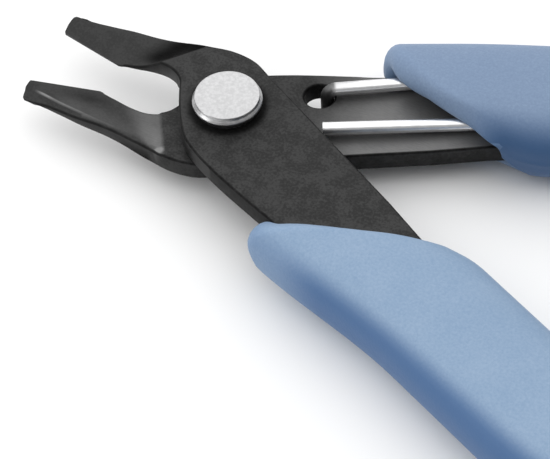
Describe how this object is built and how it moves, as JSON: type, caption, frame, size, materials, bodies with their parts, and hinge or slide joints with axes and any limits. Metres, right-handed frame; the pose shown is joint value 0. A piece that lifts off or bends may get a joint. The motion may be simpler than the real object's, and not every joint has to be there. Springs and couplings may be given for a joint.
{
  "type": "flush cutter",
  "caption": "Flush cutter with two crossing steel levers, a flat-headed pivot, a wire return spring and cushion grips, for trimming component leads.",
  "frame": {"origin": "on the pivot's axis, in the plane where the two levers slide on each other", "axes": "+X along the closed tool's centre line towards the handles, +Z out of the pivot's flat head, +Y towards the rear lever's handle"},
  "size_m": [0.1252, 0.0786, 0.0108],
  "materials": {
    "blackened_steel": "black oxide over stamped steel",
    "bright_steel": "satin turned face",
    "washer_steel": "plain zinc",
    "spring_wire": "bright drawn wire",
    "cushion_grip": "soft satin, pale blue"
  },
  "bodies": {
    "rear_side": {"rear_lever": "blackened_steel", "rear_grip": "cushion_grip", "pivot_bolt": "bright_steel", "pivot_screw": "bright_steel", "rear_washer": "washer_steel", "spring_anchor_leg": "spring_wire"},
    "front_side": {"front_lever": "blackened_steel", "front_grip": "cushion_grip"},
    "spring_leg": {"spring_moving_leg": "spring_wire"}
  },
  "joints": [
    {"name": "main_pivot", "type": "hinge", "parent": "rear_side", "child": "front_side", "pos_m": [0, 0, 0], "axis": [0, 0, 1], "range_deg": [0, 19], "stiffness_Nm_per_rad": 0.2, "springref_deg": -14.32},
    {"name": "spring_flex", "type": "hinge", "parent": "rear_side", "child": "spring_leg", "pos_m": [0.0385, 0.02123, 0.0011], "axis": [0, 0, 1], "range_deg": [-9, 0]}
  ],
  "couplings": [
    {"joint": "spring_flex", "follows": "main_pivot", "ratio": -0.44}
  ]
}
